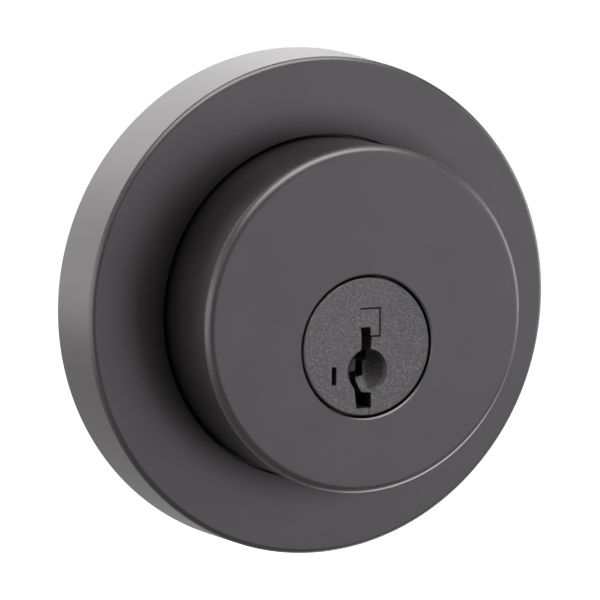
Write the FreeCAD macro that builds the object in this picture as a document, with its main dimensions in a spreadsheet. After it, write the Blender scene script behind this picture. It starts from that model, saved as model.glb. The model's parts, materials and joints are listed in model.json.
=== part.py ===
"""Keyed outside half of a deadbolt lock, with a cylinder whose pins ride on toothed racks.

Frame: the origin is where the plug's axis meets the door's face, +X is to the right seen
from outside, +Z is up, and outside is towards -Y. Places along the lock's axis are written
as distances in front of the door, so a negative one lies inside the door.
"""

import FreeCAD, Part
import os
import re
from math import pi

import Sketcher
from FreeCAD import Placement, Rotation, Vector

# Driving dimensions in millimetres. Every other size is a formula of these names.
SIZES = {
    # rose: the round plate that covers the hole in the door
    "rose_radius": 35.0,
    "rose_depth": 10.5,
    "rose_wall": 2.0,
    "rim_draft": 0.6,
    "rose_edge_round": 0.75,
    # housing: the drum that stands on the rose, with its axis above the plug's
    "drum_rise": 3.5,
    "drum_radius": 23.5,
    "drum_front": 24.1,
    "drum_wall": 2.2,
    "drum_face_wall": 2.4,
    "drum_edge_round": 1.15,
    "hole_lip": 0.2,
    "drum_gap": 0.3,
    "flange_gap": 0.4,
    "flange_thickness": 2.0,
    "boss_radius": 2.6,
    "boss_gap": 0.4,
    "boss_root": 0.5,
    "guard_gap": 0.1,
    # plate, posts and ring that hold the lock in the door
    "plate_thickness": 2.0,
    "plate_gap": 0.8,
    "post_spacing": 38.1,
    "post_radius": 3.2,
    "post_neck_radius": 2.0,
    "post_neck_gap": 0.1,
    "post_length": 14.0,
    "thread_radius": 1.75,
    "thread_depth": 12.0,
    "spigot_radius": 26.7,
    "spigot_wall": 1.8,
    "spigot_length": 8.0,
    "spigot_lip": 0.9,
    "gasket_width": 1.6,
    "gasket_depth": 3.0,
    "screw_radius": 1.2,
    "screw_fit": 0.05,
    "screw_head_radius": 2.0,
    "screw_head_height": 1.5,
    "screw_slot_half": 0.25,
    "screw_grip": 8.0,
    # fixed cylinder body
    "body_wall": 3.9,
    "body_tail": 9.0,
    "body_flange_gap": 0.3,
    "screw_circle_shift": 0.15,
    "drill_pin_radius": 0.8,
    "drill_pin_length": 8.0,
    "groove_depth": 0.9,
    "groove_half": 0.5,
    "groove_root": 0.89,
    # plug
    "plug_radius": 8.9,
    "plug_head_lip": 0.5,
    "plug_head_length": 3.7,
    "plug_head_gap": 0.3,
    "plug_recess": 0.15,
    "plug_edge_round": 0.3,
    "seam_width": 0.12,
    "seam_place": 0.45,
    "seam_depth": 0.3,
    "plug_tail": 5.0,
    "running_gap": 0.05,
    "end_gap": 0.1,
    "keyway_end": 0.3,
    "dimple_sphere": 3.15,
    "dimple_depth": 2.2,
    "dimple_place": 0.1,
    "dimple_drop": 3.25,
    "insert_left": -1.08,
    "insert_right": 2.0,
    "insert_low": 1.3,
    "insert_high": 5.3,
    "insert_depth": 3.0,
    "insert_seam": 0.2,
    "tool_slot_width": 0.7,
    "tool_slot_height": 2.5,
    "tool_slot_place": 4.85,
    "tool_slot_drop": 3.7,
    # pins and their springs
    "pin_pitch": 3.81,
    "first_pin": 17.23,
    "pin_line": -0.2,
    "pin_radius": 1.45,
    "pin_fit": 0.05,
    "pin_length": 5.5,
    "pin_tip": -3.0,
    "pin_tip_radius": 0.5,
    "pin_tip_height": 0.8,
    "pin_lift": 3.6,
    "lug_width": 1.0,
    "lug_height": 0.36,
    "lug_level": -1.0,
    "lug_reach": 2.7,
    "lug_gap": 0.2,
    "lug_root": 0.5,
    "chamber_end_gap": 0.3,
    "cover_inset": 0.9,
    "cover_end": 0.5,
    "cover_thickness": 0.5,
    "cover_half": 1.7,
    "wire_radius": 0.12,
    "pin_coil_radius": 1.1,
    # racks, carriage and sidebar
    "pocket_right": -2.3,
    "pocket_half": 5.1,
    "pocket_front": 20.4,
    "pocket_back": 3.0,
    "slide_gap": 0.1,
    "rack_left": -4.4,
    "rack_gap": 0.15,
    "rack_width": 2.0,
    "rack_low": -4.6,
    "rack_high": 0.4,
    "notch_pitch": 0.8,
    "notch_height": 0.5,
    "notch_depth": 0.6,
    "gate_depth": 0.4,
    "gate_half": 0.5,
    "gate_level": -2.6,
    "carriage_front": 18.9,
    "carriage_back": 0.5,
    "carriage_left": -7.25,
    "carriage_spring_hole": 1.1,
    "carriage_spring_place": -5.9,
    "carriage_spring_level": 3.5,
    "carriage_spring_depth": 5.0,
    "carriage_coil_radius": 0.8,
    "channel_floor": -6.6,
    "sidebar_half": 2.2,
    "sidebar_inset": 0.4,
    "sidebar_crest_inset": 0.08,
    "sidebar_crest_half": 0.35,
    "finger_half": 0.4,
    "finger_gap": 0.15,
    "sidebar_coil_radius": 0.4,
    "sidebar_spring_front": 19.65,
    "sidebar_spring_back": -2.1,
    # cap nut and tailpiece behind the plug
    "cap_wall": 1.5,
    "cap_turning_gap": 0.8,
    "cap_lip_radius": 4.4,
    "cap_lip": 1.2,
    "tail_disc_radius": 7.2,
    "tail_disc_thickness": 1.7,
    "tail_disc_gap": 0.15,
    "driver_radius": 1.0,
    "driver_place": 5.0,
    "driver_fit": 0.1,
    "driver_depth": 3.0,
    "blade_radius": 3.1,
    "blade_flat": 1.0,
    "blade_neck": 2.5,
    "blade_end": 48.0,
}

PIN_COUNT = 5
PIN_COIL_TURNS = 6
CARRIAGE_COIL_TURNS = 9
SIDEBAR_COIL_TURNS = 7
NOTCHES_ABOVE_LUG = 1
NOTCHES_BELOW_LUG = 3
# How far a cut runs past the surface that it opens.
OVERCUT = 1
BOSS_ANGLES = (40, 140)
DRILL_PIN_ANGLES = (45, 135, 270)

# Keyway outline on the plug's face, as (x, z) from the plug's axis, round the warding.
KEYWAY = (
    (-0.94, 2.56), (0.43, 2.60), (0.42, 1.58), (0.72, 1.19), (0.58, -0.36), (0.42, -0.69),
    (0.80, -1.79), (0.38, -2.30), (0.44, -4.13), (-0.80, -4.40), (-0.60, -6.14), (0.68, -6.20),
    (0.75, -8.30), (-1.45, -8.30), (-1.85, -5.30), (-1.90, -3.50), (-0.70, -3.50),
    (-0.72, -1.92), (-1.28, -1.80), (-0.86, -0.36), (-0.85, 1.19),
)
# The seam below the keyway starts this high, just inside it.
KEYWAY_LOW = -8.1
# The filler block stands this high above the plug's axis and this far right of it, just
# clear of the keyway, and its recess runs into the keyway past these places.
FILLER_LOW = 2.65
FILLER_LEFT_TOP = 0.48
FILLER_LEFT = 0.56
RECESS_LOW = 2.5
RECESS_LEFT = 0.2

# Formulas that several pieces share.
DRUM_INSIDE = "(drum_radius - drum_wall)"
FLANGE_FRONT = "(rose_depth - rose_wall)"
FLANGE_BACK = "(rose_depth - rose_wall - flange_thickness)"
PLATE_BACK = "(rose_depth - rose_wall - flange_thickness - plate_thickness)"
PLUG_FRONT = "(drum_front - plug_recess)"
HEAD_BACK = "(drum_front - plug_recess - plug_head_length)"
BODY_FRONT = "(drum_front - plug_recess - plug_head_length - end_gap)"
BODY_FLANGE = "(drum_radius - drum_wall - drum_rise - body_flange_gap)"
HEAD_RADIUS = "(plug_radius + plug_head_lip)"
BODY_RADIUS = "(plug_radius + body_wall)"
DRILL_PIN_CIRCLE = "(plug_radius + body_wall / 2)"
BOSS_CIRCLE = "(spigot_radius - spigot_wall - drum_rise - screw_head_radius - boss_gap)"
SCREW_CIRCLE = f"(({BODY_RADIUS} + {BODY_FLANGE}) / 2 + screw_circle_shift)"
COVER_LEVEL = "(plug_radius - cover_inset)"
COVER_LENGTH = f"({PIN_COUNT - 1} * pin_pitch + 2 * pin_radius + 2 * cover_end)"
CAP_RADIUS = "(plug_radius + cap_wall)"
RACK_RIGHT = "(pocket_right - rack_gap)"
CARRIAGE_RIGHT = "(pocket_right - slide_gap)"
SIDEBAR_INSIDE = "(channel_floor - slide_gap)"
SIDEBAR_BACK = "(sidebar_inset - plug_radius)"
SIDEBAR_CREST = "(sidebar_crest_inset - plug_radius)"
TAIL_DISC_BACK = "(-plug_tail - tail_disc_gap - tail_disc_thickness)"
CAP_BACK = "(-plug_tail - 2 * tail_disc_gap - tail_disc_thickness)"

DOC = FreeCAD.newDocument("deadbolt_outside_half")
SHEET = DOC.addObject("Spreadsheet::Sheet", "Sizes")
NODES = []


def fill_sheet():
    """Write the driving dimensions into the sheet, one alias to a row."""
    for row, (name, size) in enumerate(SIZES.items(), start=1):
        SHEET.set(f"A{row}", name)
        SHEET.set(f"B{row}", str(size))
        SHEET.setAlias(f"B{row}", name)
    DOC.recompute()


def linked(formula):
    """Return a formula of size names as an expression that other objects can hold."""

    def cell(match):
        word = match.group()
        return f"Sizes.{word}" if word in SIZES else word

    return re.sub(r"[A-Za-z_]\w*", cell, str(formula))


def number(formula):
    """Return what a formula of size names comes to."""
    return float(SHEET.evalExpression(linked(formula).replace("Sizes.", "")))


def new_body(label, x="0", front="0", z="0"):
    """Add an empty body whose own origin stands at x, front of the door, and z."""
    body = DOC.addObject("PartDesign::Body", label)
    body.Label = label
    body.setExpression("Placement.Base.x", linked(x))
    body.setExpression("Placement.Base.y", linked(f"-({front})"))
    body.setExpression("Placement.Base.z", linked(z))
    return body


def keep(thing):
    """Mark an object as a sub-part that is written out."""
    NODES.append(thing)
    return thing


def sketch_on(body, role, offset="0"):
    """Add a sketch on one of the body's own origin planes, moved along its normal.

    On XZ_Plane the offset is a distance in front of the body's origin, on XY_Plane a
    height and on YZ_Plane a distance to the right.
    """
    sketch = body.newObject("Sketcher::SketchObject", "Sketch")
    plane = [part for part in body.Origin.OriginFeatures if part.Role == role][0]
    sketch.AttachmentSupport = [(plane, "")]
    sketch.MapMode = "FlatFace"
    sketch.setExpression("AttachmentOffset.Base.z", linked(offset))
    return sketch


def hold(sketch, kind, names, formula):
    """Add one dimension to a sketch and bind it to a formula."""
    constraint = sketch.addConstraint(Sketcher.Constraint(kind, *names, number(formula)))
    sketch.setExpression(f"Constraints[{constraint}]", linked(formula))


def polygon(sketch, corners):
    """Draw a closed outline through corners given as pairs of formulas."""
    first = sketch.GeometryCount
    points = [Vector(number(x), number(y), 0) for x, y in corners]
    count = len(points)
    for index in range(count):
        line = Part.LineSegment(points[index], points[(index + 1) % count])
        sketch.addGeometry(line, False)
    for index in range(count):
        here = first + index
        following = first + (index + 1) % count
        sketch.addConstraint(Sketcher.Constraint("Coincident", here, 2, following, 1))
    for index, (x, y) in enumerate(corners):
        hold(sketch, "DistanceX", (-1, 1, first + index, 1), x)
        hold(sketch, "DistanceY", (-1, 1, first + index, 1), y)


def rectangle(sketch, left, right, low, high):
    """Draw a rectangle between two pairs of limits."""
    polygon(sketch, ((left, low), (right, low), (right, high), (left, high)))


def circle(sketch, radius, x="0", y="0"):
    """Draw a circle about a centre."""
    centre = Vector(number(x), number(y), 0)
    index = sketch.addGeometry(Part.Circle(centre, Vector(0, 0, 1), number(radius)), False)
    hold(sketch, "DistanceX", (-1, 1, index, 3), x)
    hold(sketch, "DistanceY", (-1, 1, index, 3), y)
    hold(sketch, "Radius", (index,), radius)


def pad(body, sketch, length):
    """Add material from the sketch along its normal: forward, up or to the right."""
    feature = body.newObject("PartDesign::Pad", "Pad")
    feature.Profile = sketch
    feature.setExpression("Length", linked(length))
    DOC.recompute()
    return feature


def pocket(body, sketch, length):
    """Remove material from the sketch against its normal, and make sure that it cuts."""
    before = body.Shape.Volume
    feature = body.newObject("PartDesign::Pocket", "Pocket")
    feature.Profile = sketch
    feature.setExpression("Length", linked(length))
    DOC.recompute()
    if body.Shape.Volume >= before:
        raise ValueError(f"a pocket in {body.Label} cuts nothing")
    return feature


def revolve(body, corners):
    """Turn an outline of (radius, distance in front) pairs once round the body's Y axis."""
    sketch = sketch_on(body, "XY_Plane")
    polygon(sketch, [(radius, f"-({front})") for radius, front in corners])
    feature = body.newObject("PartDesign::Revolution", "Revolution")
    feature.Profile = sketch
    feature.ReferenceAxis = (sketch, ["V_Axis"])
    feature.Angle = 360
    DOC.recompute()
    return feature


def rim_edges(body, radius, front):
    """Return the names of the circular edges of one radius at one distance in front."""
    wanted = []
    for index, edge in enumerate(body.Shape.Edges, start=1):
        curve = edge.Curve
        if not isinstance(curve, Part.Circle):
            continue
        same_radius = abs(curve.Radius - number(radius)) < 1e-4
        same_place = abs(curve.Center.y + number(front)) < 1e-4
        if same_radius and same_place:
            wanted.append(f"Edge{index}")
    return wanted


def round_rim(body, radius, front, size):
    """Round a circular edge."""
    base = (body.Tip, rim_edges(body, radius, front))
    fillet = body.newObject("PartDesign::Fillet", "Fillet")
    fillet.Base = base
    fillet.setExpression("Radius", linked(size))
    DOC.recompute()


def chamfer_rim(body, radius, front, size):
    """Break a circular edge with a flat."""
    base = (body.Tip, rim_edges(body, radius, front))
    chamfer = body.newObject("PartDesign::Chamfer", "Chamfer")
    chamfer.Base = base
    chamfer.setExpression("Size", linked(size))
    DOC.recompute()


def at_angle(radius, degrees):
    """Return the (x, z) formulas of a point on a circle about the sketch's origin."""
    return f"{radius} * cos({degrees} deg)", f"{radius} * sin({degrees} deg)"


def spoke(sketch, start, end, half, degrees):
    """Draw a bar between two distances from the sketch's origin, along one direction."""
    corners = []
    for distance, side in ((start, "-"), (end, "-"), (end, ""), (start, "")):
        x, y = at_angle(distance, degrees)
        aside_x, aside_y = at_angle(half, degrees + 90)
        corners.append((f"{x} + ({side}{aside_x})", f"{y} + ({side}{aside_y})"))
    polygon(sketch, corners)


def coil(label, coil_radius, length, turns, place, direction):
    """Add a round-wire compression spring.

    Its first end stands at place, as (x, front, z) formulas, and it runs along direction.
    """
    body = new_body(label, *place)
    body.Placement.Rotation = Rotation(Vector(0, 0, 1), Vector(*direction))
    sketch = sketch_on(body, "XZ_Plane")
    circle(sketch, "wire_radius", coil_radius, "wire_radius")
    helix = body.newObject("PartDesign::AdditiveHelix", "Helix")
    helix.Profile = sketch
    helix.ReferenceAxis = (sketch, ["V_Axis"])
    helix.Mode = "height-turns-angle"
    helix.Turns = turns
    helix.setExpression("Height", linked(f"{length} - 2 * wire_radius"))
    DOC.recompute()
    return body


def group(label, members):
    """Join separate solids of one kind into one sub-part."""
    compound = DOC.addObject("Part::Compound", label)
    compound.Label = label
    compound.Links = members
    DOC.recompute()
    return keep(compound)


def pin_front(index):
    """Return how far in front of the door a pin's axis is, counted from the key's end."""
    return f"(first_pin - {index} * pin_pitch)"


def make_rose():
    """Cup with a slightly tapered rim and a hole that the drum comes through."""
    body = keep(new_body("rose", z="drum_rise"))
    inside = f"rose_radius - rose_wall - rim_draft * {FLANGE_FRONT} / rose_depth"
    revolve(body, (
        ("rose_radius", "0"),
        ("rose_radius - rim_draft", "rose_depth"),
        ("drum_radius + drum_gap", "rose_depth"),
        ("drum_radius + drum_gap", FLANGE_FRONT),
        (inside, FLANGE_FRONT),
        ("rose_radius - rose_wall", "0"),
    ))
    round_rim(body, "rose_radius - rim_draft", "rose_depth", "rose_edge_round")


def make_housing():
    """Drum with a closed face, a flange behind the rose and two screw bosses."""
    body = keep(new_body("housing", z="drum_rise"))
    face_back = "drum_front - drum_face_wall"
    flange = "rose_radius - rose_wall - rim_draft - flange_gap"
    revolve(body, (
        ("0", face_back),
        (DRUM_INSIDE, face_back),
        (DRUM_INSIDE, FLANGE_BACK),
        (flange, FLANGE_BACK),
        (flange, FLANGE_FRONT),
        ("drum_radius", FLANGE_FRONT),
        ("drum_radius", "drum_front"),
        ("0", "drum_front"),
    ))
    for angle in BOSS_ANGLES:
        boss = sketch_on(body, "XZ_Plane", FLANGE_BACK)
        circle(boss, "boss_radius", *at_angle(BOSS_CIRCLE, angle))
        pad(body, boss, f"{BODY_FRONT} - {FLANGE_BACK}")
        web = sketch_on(body, "XZ_Plane", FLANGE_BACK)
        spoke(web, BOSS_CIRCLE, f"({DRUM_INSIDE} + boss_root)", "boss_radius", angle)
        pad(body, web, f"{BODY_FRONT} - {FLANGE_BACK}")
    pilots = sketch_on(body, "XZ_Plane", f"{FLANGE_BACK} + screw_grip")
    for angle in BOSS_ANGLES:
        circle(pilots, "screw_radius + screw_fit", *at_angle(BOSS_CIRCLE, angle))
    pocket(body, pilots, "screw_grip")
    hole = sketch_on(body, "XZ_Plane", "drum_front")
    circle(hole, f"{HEAD_RADIUS} + plug_head_gap", "0", "-drum_rise")
    pocket(body, hole, "drum_face_wall")
    chamfer_rim(body, f"{HEAD_RADIUS} + plug_head_gap", "drum_front", "hole_lip")
    round_rim(body, "drum_radius", "drum_front", "drum_edge_round")


def make_drill_guard():
    """Hardened disc behind the drum's face, round the plug's head."""
    body = keep(new_body("drill_guard", z="drum_rise"))
    outline = sketch_on(body, "XZ_Plane", BODY_FRONT)
    circle(outline, f"{DRUM_INSIDE} - guard_gap")
    circle(outline, f"{HEAD_RADIUS} + plug_head_gap + guard_gap", "0", "-drum_rise")
    pad(body, outline, f"drum_front - drum_face_wall - {BODY_FRONT}")


def make_door_gasket():
    """Soft ring inside the rose's rim, flush with the door."""
    body = keep(new_body("door_gasket", z="drum_rise"))
    outside = "rose_radius - rose_wall"
    revolve(body, (
        (outside, "0"),
        (f"{outside} - rim_draft * gasket_depth / rose_depth", "gasket_depth"),
        (f"{outside} - gasket_width", "gasket_depth"),
        (f"{outside} - gasket_width", "0"),
    ))


def make_retaining_plate():
    """Steel plate that clamps the drum and the cylinder body from behind."""
    body = keep(new_body("retaining_plate", z="drum_rise"))
    outline = sketch_on(body, "XZ_Plane", PLATE_BACK)
    taper = f"rim_draft * {FLANGE_BACK} / rose_depth"
    circle(outline, f"rose_radius - rose_wall - {taper} - plate_gap")
    circle(outline, f"{BODY_RADIUS} + guard_gap", "0", "-drum_rise")
    for angle in BOSS_ANGLES:
        circle(outline, "screw_radius + 2 * screw_fit", *at_angle(BOSS_CIRCLE, angle))
    for side in ("", "-"):
        circle(outline, "screw_radius + 2 * screw_fit", "0", f"{side}{SCREW_CIRCLE} - drum_rise")
        circle(outline, "post_neck_radius", f"{side}post_spacing / 2", "-drum_rise")
    pad(body, outline, "plate_thickness")


def make_screw(name, x, z, grip):
    """Pan-head screw seated on the back of the plate, pointing forward."""
    body = new_body(name, x=x, front=PLATE_BACK, z=z)
    shank = sketch_on(body, "XZ_Plane")
    circle(shank, "screw_radius")
    pad(body, shank, grip)
    head = sketch_on(body, "XZ_Plane", "-screw_head_height")
    circle(head, "screw_head_radius")
    pad(body, head, "screw_head_height")
    slot = sketch_on(body, "XZ_Plane", "-screw_head_height / 2")
    rectangle(
        slot, "-screw_head_radius", "screw_head_radius", "-screw_slot_half", "screw_slot_half"
    )
    pocket(body, slot, "screw_head_height / 2")
    return body


def make_screws():
    """Two screws that hold the drum and two that hold the cylinder body."""
    drum_screws = []
    for angle in BOSS_ANGLES:
        x, z = at_angle(BOSS_CIRCLE, angle)
        drum_screws.append(make_screw("DrumScrew", x, f"{z} + drum_rise", "screw_grip"))
    group("housing_screws", drum_screws)
    body_screws = []
    for side in ("", "-"):
        grip = "plate_thickness + flange_thickness"
        body_screws.append(make_screw("BodyScrew", "0", f"{side}{SCREW_CIRCLE}", grip))
    group("cylinder_screws", body_screws)


def make_posts():
    """Two tapped posts riveted to the plate, which the inside half's screws pull on."""
    for side, label in (("-", "fixing_post_left"), ("", "fixing_post_right")):
        body = keep(new_body(label, x=f"{side}post_spacing / 2"))
        stem = sketch_on(body, "XZ_Plane", "-post_length")
        circle(stem, "post_radius")
        pad(body, stem, f"post_length + {PLATE_BACK}")
        neck = sketch_on(body, "XZ_Plane", PLATE_BACK)
        circle(neck, "post_neck_radius")
        pad(body, neck, "plate_thickness - post_neck_gap")
        thread = sketch_on(body, "XZ_Plane", "thread_depth - post_length")
        circle(thread, "thread_radius")
        pocket(body, thread, "thread_depth")


def make_bore_spigot():
    """Ring that centres the lock in the hole in the door."""
    body = keep(new_body("bore_spigot"))
    inside = "spigot_radius - spigot_wall"
    revolve(body, (
        (inside, PLATE_BACK),
        ("spigot_radius + spigot_lip", PLATE_BACK),
        ("spigot_radius + spigot_lip", "0"),
        ("spigot_radius", "0"),
        ("spigot_radius", "-spigot_length"),
        (inside, "-spigot_length"),
    ))


def make_cylinder_body():
    """Fixed body with the plug's bore, the sidebar's groove and a screw flange."""
    body = keep(new_body("cylinder_body"))
    barrel = sketch_on(body, "XZ_Plane", "-body_tail")
    circle(barrel, BODY_RADIUS)
    pad(body, barrel, f"{BODY_FRONT} + body_tail")
    flange = sketch_on(body, "XZ_Plane", FLANGE_BACK)
    circle(flange, BODY_FLANGE)
    pad(body, flange, "flange_thickness")
    bore = sketch_on(body, "XZ_Plane", BODY_FRONT)
    circle(bore, "plug_radius + running_gap")
    pocket(body, bore, f"{BODY_FRONT} + body_tail")
    cap_space = sketch_on(body, "XZ_Plane", "-pocket_back - end_gap")
    circle(cap_space, f"{CAP_RADIUS} + cap_turning_gap")
    pocket(body, cap_space, "body_tail - pocket_back - end_gap")
    groove = sketch_on(body, "XZ_Plane", BODY_FRONT)
    polygon(groove, (
        ("groove_root - plug_radius", "groove_half + groove_depth"),
        ("-plug_radius - groove_depth", "groove_half"),
        ("-plug_radius - groove_depth", "-groove_half"),
        ("groove_root - plug_radius", "-groove_half - groove_depth"),
    ))
    pocket(body, groove, f"{BODY_FRONT} + pocket_back")
    # The flange is also cut clear of the drum's bosses, where it reaches them.
    screws = sketch_on(body, "XZ_Plane", FLANGE_FRONT)
    for side in ("", "-"):
        circle(screws, "screw_radius + screw_fit", "0", f"{side}{SCREW_CIRCLE}")
    for angle in BOSS_ANGLES:
        x, z = at_angle(BOSS_CIRCLE, angle)
        circle(screws, "boss_radius + body_flange_gap", x, f"{z} + drum_rise")
    pocket(body, screws, "flange_thickness")
    pins = sketch_on(body, "XZ_Plane", BODY_FRONT)
    for angle in DRILL_PIN_ANGLES:
        circle(pins, "drill_pin_radius", *at_angle(DRILL_PIN_CIRCLE, angle))
    pocket(body, pins, "drill_pin_length")


def make_drill_pins():
    """Hardened pins pressed into the front of the cylinder body."""
    pins = []
    for angle in DRILL_PIN_ANGLES:
        x, z = at_angle(DRILL_PIN_CIRCLE, angle)
        body = new_body("DrillPin", x=x, z=z)
        section = sketch_on(body, "XZ_Plane", f"{BODY_FRONT} - drill_pin_length")
        circle(section, "drill_pin_radius")
        pad(body, section, "drill_pin_length")
        pins.append(body)
    group("drill_pins", pins)


def make_plug():
    """Turning plug: keyway, pin chambers and the side pocket for the carriage."""
    body = keep(new_body("plug"))
    barrel = sketch_on(body, "XZ_Plane", "-plug_tail")
    circle(barrel, "plug_radius")
    pad(body, barrel, f"{HEAD_BACK} + plug_tail")
    head = sketch_on(body, "XZ_Plane", HEAD_BACK)
    circle(head, HEAD_RADIUS)
    pad(body, head, "plug_head_length")
    round_rim(body, HEAD_RADIUS, PLUG_FRONT, "plug_edge_round")
    keyway = sketch_on(body, "XZ_Plane", PLUG_FRONT)
    polygon(keyway, KEYWAY)
    pocket(body, keyway, f"{PLUG_FRONT} + keyway_end")
    seam = sketch_on(body, "XZ_Plane", PLUG_FRONT)
    rectangle(
        seam,
        "seam_place - seam_width / 2",
        "seam_place + seam_width / 2",
        f"-{HEAD_RADIUS} - {OVERCUT}",
        KEYWAY_LOW,
    )
    pocket(body, seam, "seam_depth")
    filler = sketch_on(body, "XZ_Plane", PLUG_FRONT)
    polygon(filler, (
        ("insert_left", RECESS_LOW),
        (RECESS_LEFT, RECESS_LOW),
        (RECESS_LEFT, "insert_low"),
        ("insert_right", "insert_low"),
        ("insert_right", "insert_high"),
        ("insert_left", "insert_high"),
    ))
    pocket(body, filler, "insert_depth")
    tool_slot = sketch_on(body, "XZ_Plane", PLUG_FRONT)
    rectangle(
        tool_slot,
        "-tool_slot_place - tool_slot_width / 2",
        "-tool_slot_place + tool_slot_width / 2",
        "-tool_slot_drop - tool_slot_height / 2",
        "-tool_slot_drop + tool_slot_height / 2",
    )
    pocket(body, tool_slot, f"{PLUG_FRONT} - pocket_front + slide_gap")
    side = sketch_on(body, "XZ_Plane", "pocket_front")
    open_side = f"-{HEAD_RADIUS} - {OVERCUT}"
    rectangle(side, open_side, "pocket_right", "-pocket_half", "pocket_half")
    pocket(body, side, "pocket_front + pocket_back")
    chambers = sketch_on(body, "XY_Plane", HEAD_RADIUS)
    for index in range(PIN_COUNT):
        circle(chambers, "pin_radius + pin_fit", "pin_line", f"-{pin_front(index)}")
    pocket(body, chambers, f"{HEAD_RADIUS} - pin_tip + chamber_end_gap")
    lugs = sketch_on(body, "YZ_Plane", "pin_line - pin_radius + lug_root")
    for index in range(PIN_COUNT):
        rectangle(
            lugs,
            f"-{pin_front(index)} - lug_width / 2 - pin_fit",
            f"-{pin_front(index)} + lug_width / 2 + pin_fit",
            "lug_level - lug_height / 2 - lug_gap",
            "plug_radius",
        )
    pocket(body, lugs, "pin_line - pin_radius + lug_root - pocket_right + slide_gap")
    cover = sketch_on(body, "XZ_Plane", f"{pin_front(0)} + pin_radius + cover_end")
    rectangle(
        cover, "pin_line - cover_half", "pin_line + cover_half", COVER_LEVEL, HEAD_RADIUS
    )
    pocket(body, cover, COVER_LENGTH)
    driver = sketch_on(body, "XZ_Plane", "driver_depth - plug_tail")
    circle(driver, "driver_radius", "0", "driver_place")
    pocket(body, driver, "driver_depth")
    before = body.Shape.Volume
    dimple = body.newObject("PartDesign::SubtractiveSphere", "Dimple")
    dimple.setExpression("Radius", linked("dimple_sphere"))
    lift = f"-({PLUG_FRONT} - dimple_depth + dimple_sphere)"
    dimple.setExpression("Placement.Base.x", linked("dimple_place"))
    dimple.setExpression("Placement.Base.y", linked(lift))
    dimple.setExpression("Placement.Base.z", linked("-dimple_drop"))
    DOC.recompute()
    if body.Shape.Volume >= before:
        raise ValueError("the dimple cuts nothing")


def make_face_insert():
    """Filler block let into the plug's face above the keyway."""
    body = keep(new_body("face_insert"))
    outline = sketch_on(body, "XZ_Plane", f"{PLUG_FRONT} - insert_depth")
    polygon(outline, (
        ("insert_left", FILLER_LOW),
        (FILLER_LEFT_TOP, FILLER_LOW),
        (FILLER_LEFT, "insert_low + insert_seam"),
        ("insert_right - insert_seam", "insert_low + insert_seam"),
        ("insert_right - insert_seam", "insert_high - insert_seam"),
        ("insert_left", "insert_high - insert_seam"),
    ))
    pad(body, outline, "insert_depth")


def make_spring_cover():
    """Strip that closes the pin chambers over the springs."""
    body = keep(new_body("spring_cover"))
    back = f"{pin_front(PIN_COUNT - 1)} - pin_radius - cover_end"
    outline = sketch_on(body, "XZ_Plane", back)
    rectangle(
        outline,
        "pin_line - cover_half",
        "pin_line + cover_half",
        COVER_LEVEL,
        f"{COVER_LEVEL} + cover_thickness",
    )
    pad(body, outline, COVER_LENGTH)


def make_pin(index):
    """Pin that the key lifts, with a side lug that stands in a notch of its rack."""
    body = keep(new_body(f"pin_{index + 1}", x="pin_line", front=pin_front(index)))
    sketch = sketch_on(body, "XZ_Plane")
    polygon(sketch, (
        ("0", "pin_tip"),
        ("pin_tip_radius", "pin_tip"),
        ("pin_radius", "pin_tip + pin_tip_height"),
        ("pin_radius", "pin_tip + pin_length"),
        ("0", "pin_tip + pin_length"),
    ))
    turned = body.newObject("PartDesign::Revolution", "Revolution")
    turned.Profile = sketch
    turned.ReferenceAxis = (sketch, ["V_Axis"])
    turned.Angle = 360
    DOC.recompute()
    lug = sketch_on(body, "YZ_Plane", "-lug_reach")
    rectangle(
        lug,
        "-lug_width / 2",
        "lug_width / 2",
        "lug_level - lug_height / 2",
        "lug_level + lug_height / 2",
    )
    pad(body, lug, "lug_reach - pin_radius / 2")


def make_pin_spring(index):
    """Spring between a pin and the cover strip."""
    length = f"({COVER_LEVEL} - pin_tip - pin_length)"
    place = ("pin_line", pin_front(index), "pin_tip + pin_length")
    label = f"pin_spring_{index + 1}"
    keep(coil(label, "pin_coil_radius", length, PIN_COIL_TURNS, place, (0, 0, 1)))


def make_rack(index):
    """Toothed strip with a row of notches for the lug and one gate for the sidebar."""
    body = keep(new_body(f"rack_{index + 1}", front=f"{pin_front(index)} - rack_width / 2"))
    right = RACK_RIGHT
    corners = [(right, "rack_low")]
    for step in range(-NOTCHES_BELOW_LUG, NOTCHES_ABOVE_LUG + 1):
        level = f"lug_level + {step} * notch_pitch"
        corners.append((right, f"{level} - notch_height / 2"))
        corners.append((f"{right} - notch_depth", f"{level} - notch_height / 2"))
        corners.append((f"{right} - notch_depth", f"{level} + notch_height / 2"))
        corners.append((right, f"{level} + notch_height / 2"))
    corners += [
        (right, "rack_high"),
        ("rack_left", "rack_high"),
        ("rack_left", "gate_level + gate_half"),
        ("rack_left + gate_depth", "gate_level + gate_half / 2"),
        ("rack_left + gate_depth", "gate_level - gate_half / 2"),
        ("rack_left", "gate_level - gate_half"),
        ("rack_left", "rack_low"),
    ]
    outline = sketch_on(body, "XZ_Plane")
    polygon(outline, corners)
    pad(body, outline, "rack_width")


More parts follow.
